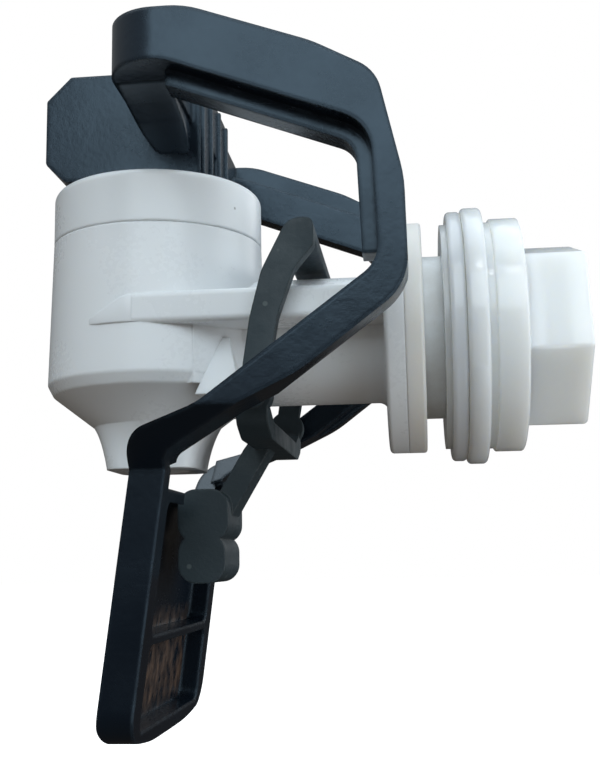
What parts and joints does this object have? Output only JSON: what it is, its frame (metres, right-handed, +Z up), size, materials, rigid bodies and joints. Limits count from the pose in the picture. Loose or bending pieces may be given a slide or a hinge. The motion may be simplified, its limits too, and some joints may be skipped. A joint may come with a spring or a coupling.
{
  "type": "beverage dispenser spigot",
  "caption": "Push-lever spigot for a beverage dispenser: white plastic valve body and cap, dark hooped lever with paddle and safety catch, panel flange, washer and hexagon lock nut.",
  "frame": {"origin": "centre of the inlet on the face of the flange seal that sits against the dispenser's panel", "axes": "+X along the inlet into the dispenser, +Z up along the valve barrel, the nozzle pours towards -Z"},
  "size_m": [0.0873, 0.07, 0.1055],
  "materials": {
    "body_white": "smooth moulded white plastic, slightly glossy",
    "cap_white": "smooth moulded white plastic",
    "nut_white": "milky, slightly translucent white plastic",
    "seal_milky": "soft milky sealing ring",
    "lever_black": "blue-black moulded plastic, satin",
    "catch_black": "dull green-black moulded plastic",
    "seat_rubber": "soft black rubber",
    "steel": "plain stainless steel",
    "stem_plastic": "natural moulded plastic"
  },
  "bodies": {
    "housing": {"valve_body": "body_white", "bonnet_cap": "cap_white", "bonnet_gasket": "seal_milky", "stem_ring": "seat_rubber", "gland_washer": "stem_plastic", "return_spring": "steel", "panel_seal": "seal_milky", "rear_washer": "nut_white", "lock_nut": "nut_white"},
    "stem": {"valve_stem": "stem_plastic", "seat_cup": "seat_rubber", "spring_washer": "stem_plastic"},
    "lever": {"lever": "lever_black", "lever_pin": "steel"},
    "catch": {"safety_catch": "catch_black"}
  },
  "joints": [
    {"name": "stem_lift", "type": "slide", "parent": "housing", "child": "stem", "axis": [0, 0, 1], "range_m": [0, 0.0014], "stiffness_N_per_m": 200, "springref_m": -0.003, "deforming": ["return_spring"]},
    {"name": "lever_tilt", "type": "hinge", "parent": "stem", "child": "lever", "pos_m": [-0.0442, 0, 0.034], "axis": [0, -1, 0], "range_deg": [0, 6]},
    {"name": "catch_swing", "type": "hinge", "parent": "lever", "child": "catch", "pos_m": [-0.0252, 0, -0.0117], "axis": [0, -1, 0], "range_deg": [0, 8]}
  ],
  "couplings": [
    {"joint": "stem_lift", "follows": "lever_tilt", "m_per_rad": 0.013}
  ]
}
